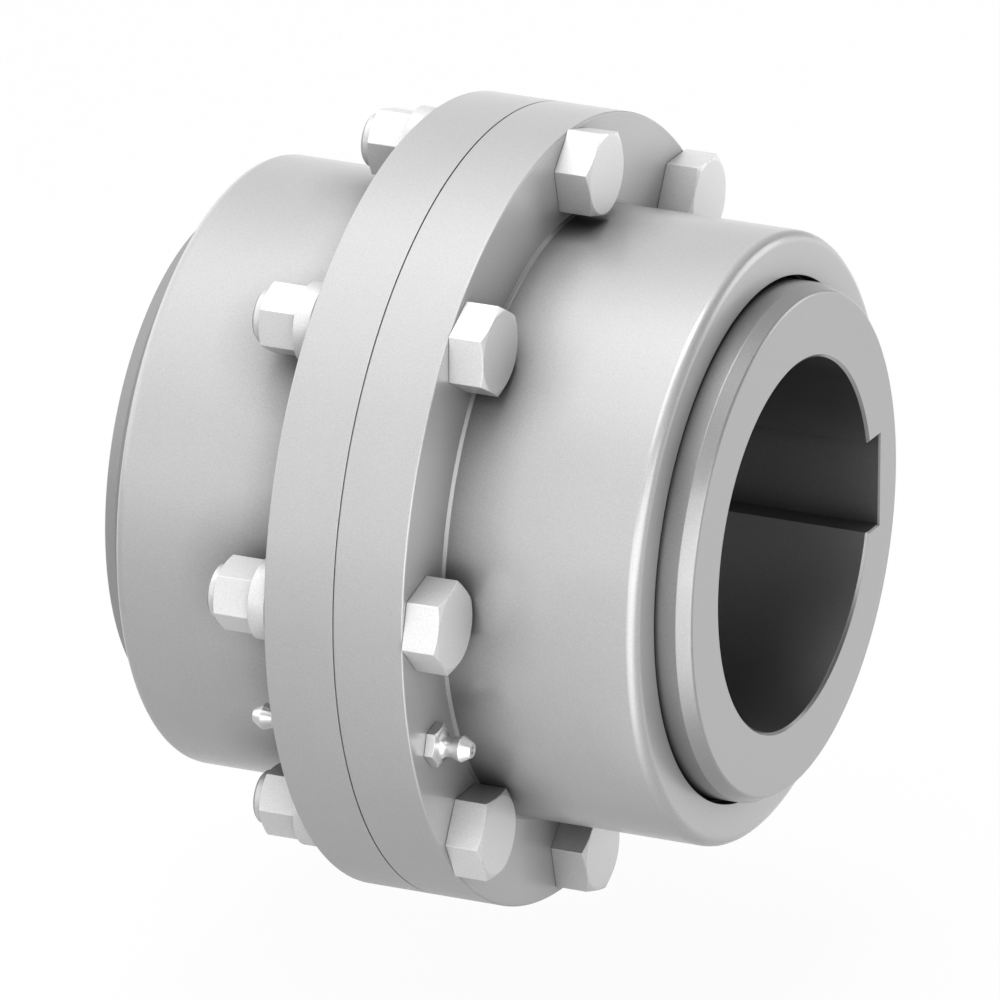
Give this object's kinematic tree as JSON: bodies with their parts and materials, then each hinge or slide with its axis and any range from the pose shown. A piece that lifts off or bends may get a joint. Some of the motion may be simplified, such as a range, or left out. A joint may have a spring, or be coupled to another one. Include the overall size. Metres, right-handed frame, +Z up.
{
  "type": "gear coupling",
  "caption": "Flanged gear coupling for keyed shafts: crowned hub teeth mesh inside bolted sleeves, with grease nipples and rubber seals.",
  "frame": {"origin": "on the shaft axis, half way between the flanges", "axes": "+X along the shaft axis, from the driving to the driven side; +Z up; both keyways towards +Y"},
  "size_m": [0.1862, 0.2356, 0.2356],
  "materials": {
    "hub_steel": "satin, finely turned",
    "sleeve_steel": "satin, finely turned",
    "bolt_steel": "satin",
    "washer_steel": "satin",
    "nut_steel": "satin",
    "nipple_steel": "bright plated",
    "ball_steel": "polished",
    "plug_steel": "satin",
    "seal_rubber": "matte black",
    "gasket_fibre": "matte"
  },
  "bodies": {
    "driving_hub": {"driving_hub": "hub_steel"},
    "sleeves": {"flange_gasket": "gasket_fibre", "driving_sleeve": "sleeve_steel", "driving_seal": "seal_rubber", "driving_grease_nipple": "nipple_steel", "driving_lube_plug": "plug_steel", "driven_sleeve": "sleeve_steel", "driven_seal": "seal_rubber", "driven_grease_nipple": "nipple_steel", "driven_lube_plug": "plug_steel", "flange_bolt_1": "bolt_steel", "bolt_washer_1": "washer_steel", "bolt_nut_1": "nut_steel", "flange_bolt_2": "bolt_steel", "bolt_washer_2": "washer_steel", "bolt_nut_2": "nut_steel", "flange_bolt_3": "bolt_steel", "bolt_washer_3": "washer_steel", "bolt_nut_3": "nut_steel", "flange_bolt_4": "bolt_steel", "bolt_washer_4": "washer_steel", "bolt_nut_4": "nut_steel", "flange_bolt_5": "bolt_steel", "bolt_washer_5": "washer_steel", "bolt_nut_5": "nut_steel", "flange_bolt_6": "bolt_steel", "bolt_washer_6": "washer_steel", "bolt_nut_6": "nut_steel", "flange_bolt_7": "bolt_steel", "bolt_washer_7": "washer_steel", "bolt_nut_7": "nut_steel", "flange_bolt_8": "bolt_steel", "bolt_washer_8": "washer_steel", "bolt_nut_8": "nut_steel"},
    "driven_hub": {"driven_hub": "hub_steel"},
    "driving_ball": {"driving_nipple_ball": "ball_steel"},
    "driven_ball": {"driven_nipple_ball": "ball_steel"}
  },
  "joints": [
    {"name": "driving_tilt", "type": "hinge", "parent": "driving_hub", "child": "sleeves", "pos_m": [-0.019, 0, 0], "axis": [0, 1, 0], "range_deg": [-0.75, 0.75]},
    {"name": "driven_tilt", "type": "hinge", "parent": "sleeves", "child": "driven_hub", "pos_m": [0.019, 0, 0], "axis": [0, 1, 0], "range_deg": [-0.75, 0.75]},
    {"name": "driving_ball_slide", "type": "slide", "parent": "sleeves", "child": "driving_ball", "axis": [1, 0, 0], "range_m": [0, 0.0015], "stiffness_N_per_m": 200, "springref_m": -0.001},
    {"name": "driven_ball_slide", "type": "slide", "parent": "sleeves", "child": "driven_ball", "axis": [-1, 0, 0], "range_m": [0, 0.0015], "stiffness_N_per_m": 200, "springref_m": -0.001}
  ]
}
